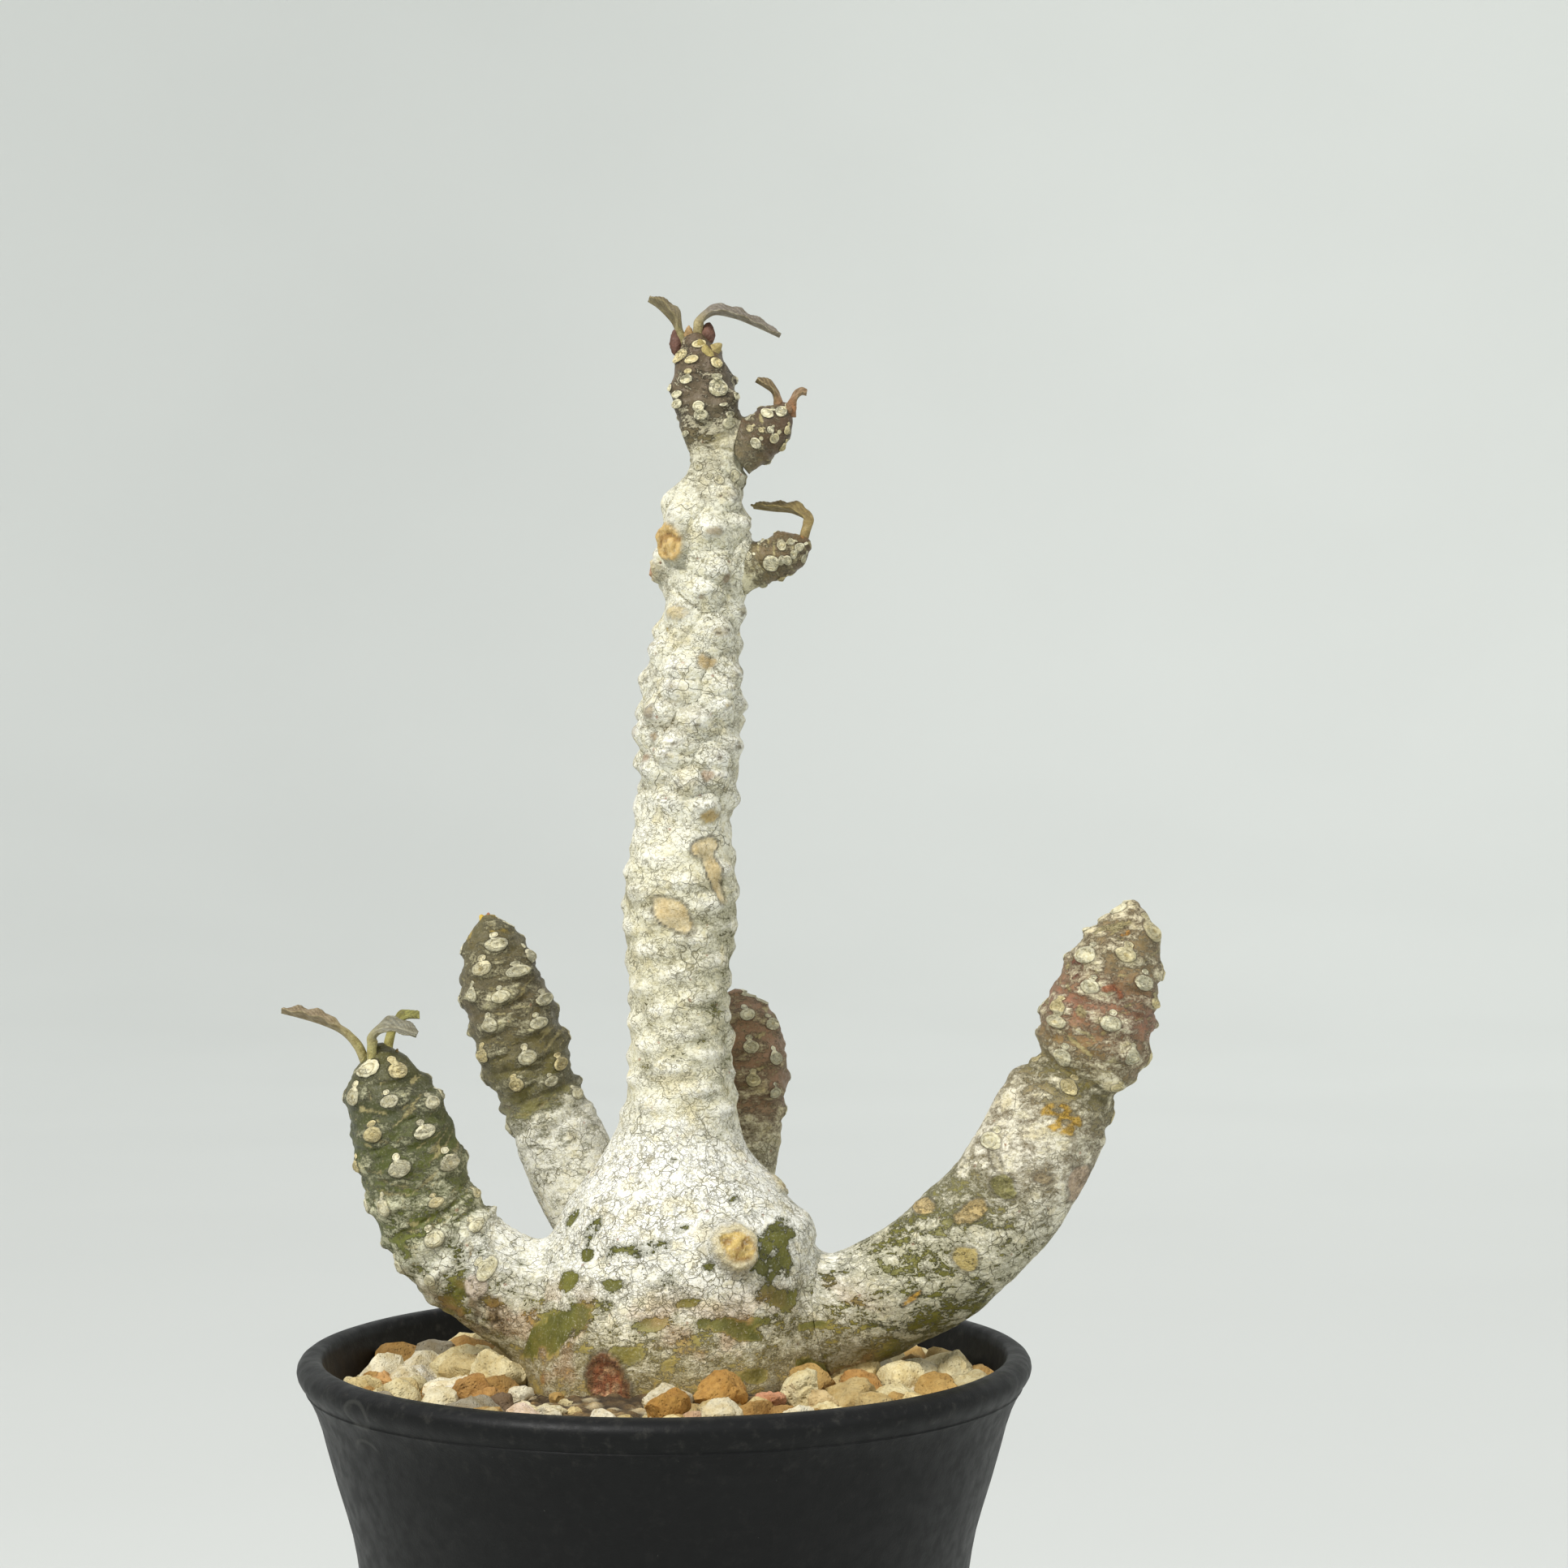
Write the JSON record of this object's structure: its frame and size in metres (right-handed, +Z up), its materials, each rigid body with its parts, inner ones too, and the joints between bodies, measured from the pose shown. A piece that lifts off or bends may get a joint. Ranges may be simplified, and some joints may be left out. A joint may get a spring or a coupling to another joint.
{
  "type": "potted dorstenia",
  "caption": "Bare caudex plant with a tall scarred trunk, upturned arms and small crinkled leaves, standing in gritty soil in a flared round plastic pot.",
  "frame": {"origin": "centre of the pot's flat underside", "axes": "+Z up along the pot's axis, -Y toward the viewer of the picture, +X to the viewer's right, where the longest arm points"},
  "size_m": [0.1204, 0.1, 0.2442],
  "materials": {
    "pot_plastic": "matte near-black plastic with a fine grain",
    "gravel": "rough porous cream, tan and grey stones",
    "bark": "chalky white crackled bark over olive skin",
    "young_bark": "dull olive skin with cream leaf scars",
    "red_bark": "dull red-brown and grey skin with cream leaf scars",
    "dark_bark": "dull dark brown skin with cream leaf scars",
    "leaf_green": "crinkled olive leaf",
    "leaf_grey": "crinkled grey leaf"
  },
  "bodies": {
    "root": {"pot": "pot_plastic", "soil": "gravel", "trunk": "bark", "arm_left": "young_bark", "arm_right": "red_bark", "arm_back_left": "young_bark", "arm_back_right": "red_bark", "shoot_upper": "dark_bark", "shoot_lower": "dark_bark", "leaf_top_left": "leaf_green", "leaf_top_right": "leaf_grey", "leaf_shoot_upper_left": "leaf_green", "leaf_shoot_upper_right": "leaf_green", "leaf_shoot_lower": "leaf_green", "leaf_arm_long": "leaf_green", "leaf_arm_grey": "leaf_grey", "leaf_arm_green": "leaf_green"}
  },
  "joints": []
}
